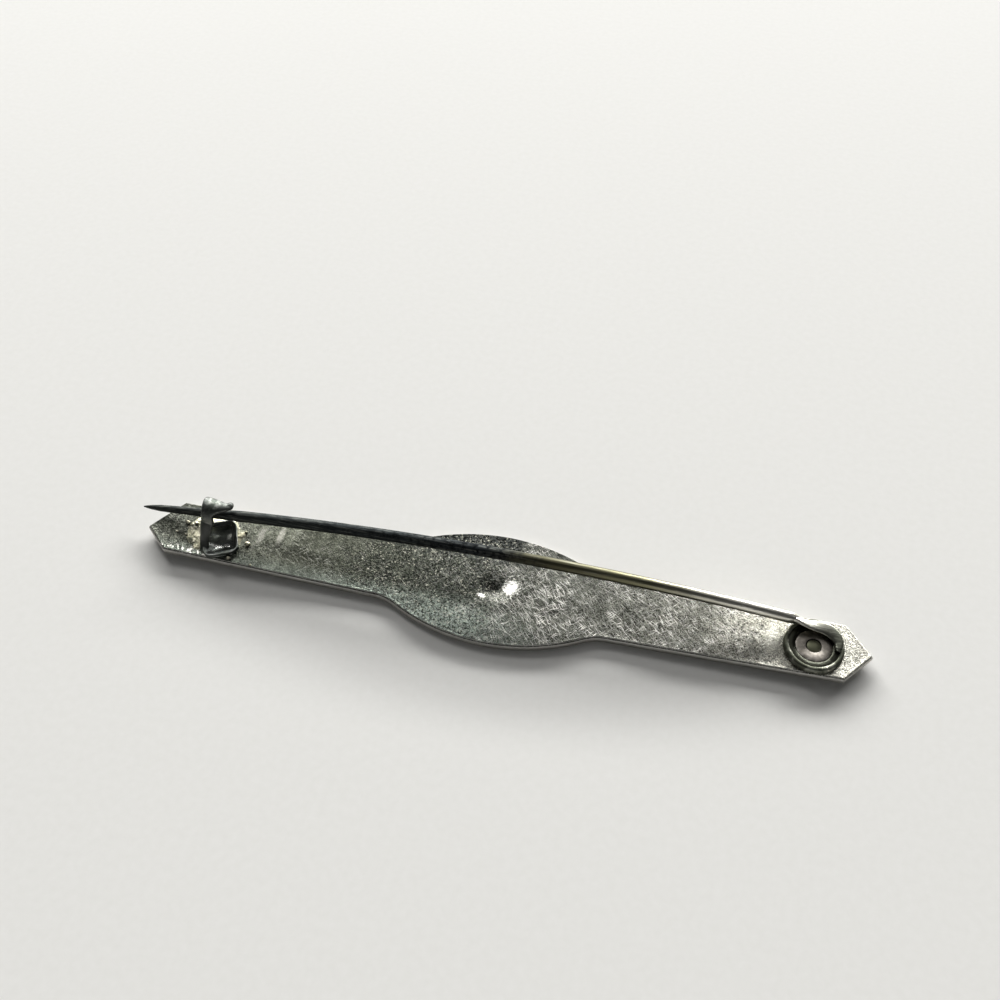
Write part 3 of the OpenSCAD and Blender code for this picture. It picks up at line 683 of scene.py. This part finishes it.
def makeRivetHead():
    # a flat head with a punched ring, on a shank that ends inside the sheet; the rows give radius and height
    look = {"ring": ((0.001, 0.315), (0.43, 0.315), (0.51, 0.27), (0.56, 0.27), (0.61, 0.31), (0.66, 0.33)),
            "head": ((1.065, 0.325), (1.32, 0.31), (1.4, 0.27), (1.42, 0.21), (1.39, 0.19)),
            "shank": ((0.65, 0.19), (0.65, -0.72), (0.001, -0.72))}
    bm = spinProfile([*look["ring"], *look["head"], *look["shank"]], count=96)
    finishPiece("joint_rivet", bm, rivetMetal, "brooch", ["rivet"], sharp=40)


def makePin():
    # one wire: a long ground point, a bowed stem, a shoulder hammered flat on edge, and a curl round the rivet
    look = {"wire": 0.95, "slope": ((0.0, 0.12), (0.3, 0.24), (0.8, 0.4), (1.6, 0.56), (9.09, 0.95)),
            "slopeStep": 0.4, "start": Vector((-22, 1.13, 2.45)), "bow": 1.443, "stemEnd": 2.3, "stemHigh": 1.085,
            "shoulder": 1.3, "curl": 1.7, "curlEnd": -40, "thick": 0.36, "low": 0.2, "high": 0.7, "fallTo": -45,
            "fall": 10, "heelAt": -0.5, "heelRise": 0.36, "square": (2, 5), "lipSquare": 2.6,
            "lip": ((-2.2, 1.62, 1.14, 0.4, 0.4, -8), (-1.95, 1.6, 1.12, 0.5, 0.44, -14),
                    (-1.5, 1.55, 1.1, 0.52, 0.42, -16), (-1.0, 1.45, 1.05, 0.72, 0.36, -14),
                    (-0.5, 1.42, 0.98, 0.92, 0.32, -10), (0.0, 1.44, 0.9, 1.06, 0.3, -4),
                    (0.57, 1.45, 0.84, 1.1, 0.3, 2), (1.1, 1.27, 0.79, 1.06, 0.3, 7),
                    (1.55, 0.88, 0.76, 0.92, 0.28, 10), (1.82, 0.39, 0.74, 0.7, 0.26, 10),
                    (1.82, -0.13, 0.7, 0.5, 0.24, 6), (1.76, -0.37, 0.66, 0.26, 0.2, 0)),
            "eye": ((1.5, 0.19), (2.12, 0.19), (2.15, 0.22), (2.15, 0.36), (2.1, 0.4), (1.52, 0.4), (1.47, 0.36),
                    (1.47, 0.22))}
    wire, curl = look["wire"], look["curl"]
    plain, flattened = look["square"]
    end = jointAt + Vector((-look["stemEnd"], curl, seatHeight + look["stemHigh"]))
    run = end - look["start"]
    level = math.hypot(run.x, run.y)
    radius = (level * level / 4 + look["bow"] ** 2) / (2 * look["bow"])
    bend = math.asin(level / 2 / radius)
    tilt = Matrix.Rotation(math.atan2(run.y, run.x), 3, "Z") @ Matrix.Rotation(-math.atan2(run.z, level), 3, "Y")
    middle = (look["start"] + end) / 2 + tilt @ Vector((0, 0, look["bow"] - radius))
    side = Vector((0, 1, 0))
    ahead = tilt @ Vector((math.cos(bend), 0, math.sin(bend)))
    pointLength = look["slope"][-1][0]
    stations = []
    for (near, small), (far, big) in zip(look["slope"], look["slope"][1:]):
        for t in shares(max(2, round((far - near) / look["slopeStep"])))[:-1]:
            place = look["start"] - ahead * (pointLength - near - (far - near) * t)
            size = small + (big - small) * t
            stations.append((place, ahead, side, size, size, plain))
    for t in shares(110):
        angle = bend * (2 * t - 1)
        up = Vector((math.sin(angle), 0, math.cos(angle)))
        stations.append((middle + tilt @ (up * radius), tilt @ Vector((up.z, 0, -up.x)), side, wire, wire, plain))
    # the blade's lower edge lies on the eye, and its upper edge falls away clockwise
    fall = Matrix.Rotation(math.radians(look["fallTo"]), 3, "Z") @ Matrix.Rotation(math.radians(look["fall"]), 3, "Y")
    slant = fall @ Vector((0, 0, 1))
    wireLow, wireHigh = look["stemHigh"] - wire / 2, look["stemHigh"] + wire / 2
    neckEnd = -look["stemEnd"] + look["shoulder"]
    plan = [(Vector((-look["stemEnd"] + look["shoulder"] * t, curl, 0)), Vector((1, 0, 0)), t) for t in shares(8)[1:]]
    plan += [(Vector((neckEnd * (1 - t), curl, 0)), Vector((1, 0, 0)), 1) for t in shares(4)[1:-1]]
    for t in shares(44):
        angle = math.radians(90 - (90 - look["curlEnd"]) * t)
        out = Vector((math.cos(angle), math.sin(angle), 0))
        plan.append((out * curl, Vector((out.y, -out.x, 0)), 1))
    for spot, way, flat in plan:
        high = look["high"] - (slant.x * spot.x + slant.y * spot.y) / slant.z
        low = look["low"] + max(0, look["heelRise"] * (look["heelAt"] - spot.x))
        ease = eased(flat)
        high = wireHigh + (high - wireHigh) * ease
        low = wireLow + (low - wireLow) * ease
        thick = wire + (look["thick"] - wire) * ease
        place = jointAt + spot + Vector((0, 0, seatHeight + (high + low) / 2))
        stations.append((place, way, Vector((-way.y, way.x, 0)), thick, high - low,
                         plain + (flattened - plain) * ease))
    bm = bmesh.new()
    sweep(bm, stations)
    # hammering has spread the blade's upper edge to a lip, broad and almost flat, that leans out over the cup: the
    # rows give its place, width, thickness and roll
    lip = [Vector(row) for row in look["lip"]]
    stations = []
    for t in shares(44):
        t *= len(lip) - 1
        k = min(int(t), len(lip) - 2)
        x, y, z, width, thick, roll = lip[k].lerp(lip[k + 1], t - k)
        ahead = (lip[min(k + 2, len(lip) - 1)] - lip[k]).lerp(lip[k + 1] - lip[max(k - 1, 0)], 1 - (t - k))
        flat = Vector((-ahead.y, ahead.x, 0)).normalized()
        across = flat * math.cos(math.radians(roll)) + Vector((0, 0, math.sin(math.radians(roll))))
        stations.append((jointAt + Vector((x, y, seatHeight + z)), Vector(ahead[:3]), across, width, thick,
                         look["lipSquare"]))
    joinSweep(bm, stations)
    print("pin:", len(bm.faces), "faces")
    finishPiece("pin_wire", bm, pinWire, "pin_arm", ["pin"], sharp=60)
    finishPiece("pin_eye", spinProfile(look["eye"], count=96), pinWire, "pin_arm", ["pin"], sharp=50)


def makeStudio():
    look = {"floorSize": 1.2, "sky": "#e9ebee", "skyStrength": 0.065,
            "panels": (("window", (3.0, 0.42), 90.0, (-0.1, 1.65, 0.68)),
                       ("ceiling", (0.38, 0.32), 0.24, (0.05, 0.32, 0.45)),
                       ("leftBox", (0.2, 0.2), 1.2, (-0.4, 0.44, 0.46)),
                       ("frontCard", (0.8, 0.2), 0.4, (0.0, -0.6, 0.16)))}
    bm = bmesh.new()
    bmesh.ops.create_grid(bm, x_segments=4, y_segments=4, size=look["floorSize"] / 2)
    mesh = bpy.data.meshes.new("paper_floor")
    bm.to_mesh(mesh)
    bm.free()
    floor = bpy.data.objects.new("paper_floor", mesh)
    mesh.materials.append(makePaper())
    bpy.context.scene.collection.objects.link(floor)
    world = bpy.data.worlds.new("paleRoom")
    bpy.context.scene.world = world
    world.use_nodes = True
    back = world.node_tree.nodes["Background"]
    back.inputs["Color"].default_value = linear(look["sky"])
    back.inputs["Strength"].default_value = look["skyStrength"]
    # a wide low window far behind, a dim ceiling nearer, a small box at the back left and a pale card in front: the
    # room is dim else, so the near edge stands over a dark soft shadow
    for name, size, power, place in look["panels"]:
        light = bpy.data.lights.new(name, "AREA")
        light.shape = "RECTANGLE"
        light.energy = power
        light.size, light.size_y = size
        lamp = bpy.data.objects.new(name, light)
        lamp.location = place
        lamp.rotation_euler = (-Vector(place)).to_track_quat("-Z", "Y").to_euler()
        bpy.context.scene.collection.objects.link(lamp)


def makeCamera():
    # fitted to places measured on the photo; focal length and centre are in pixels of the picture
    look = {"elevation": 52.773, "turn": -12.5998, "focal": 1040.4, "distance": 84.747, "centre": (495.593, 587.672),
            "picture": 1000, "sensor": 36}
    tip = math.radians(look["elevation"])
    back = Matrix.Rotation(math.radians(-look["turn"]), 3, "Z")
    right = back @ Vector((1, 0, 0))
    ahead = back @ Vector((0, math.cos(tip), -math.sin(tip)))
    up = back @ Vector((0, math.sin(tip), math.cos(tip)))
    across, below = ((place - look["picture"] / 2) / look["focal"] * look["distance"] for place in look["centre"])
    spot = (Vector((0, 0, plateTop)) - right * across + up * below - ahead * look["distance"]) * mm
    data = bpy.data.cameras.new("photoCamera")
    data.lens = look["sensor"] * look["focal"] / look["picture"]
    data.sensor_width = look["sensor"]
    data.clip_start = mm
    camera = bpy.data.objects.new("photoCamera", data)
    camera.matrix_world = Matrix((right, up, -ahead)).transposed().to_4x4()
    camera.matrix_world.translation = spot
    bpy.context.scene.collection.objects.link(camera)
    bpy.context.scene.camera = camera


bpy.context.scene.view_settings.view_transform = "Standard"
sheetMetal = makeSheetMetal()
darkStrip = makeDarkStrip()
softSolder = makeSolder()
cupMetal = makeCupMetal()
rivetMetal = makeRivetMetal()
pinWire = makePinWire()
print("materials made")
makeBarSheet()
makeCatch()
makeSolderPool()
print("bar and catch made")
makeJointCup()
makeRivetHead()
makePin()
print("joint and pin made")
makeStudio()
makeCamera()
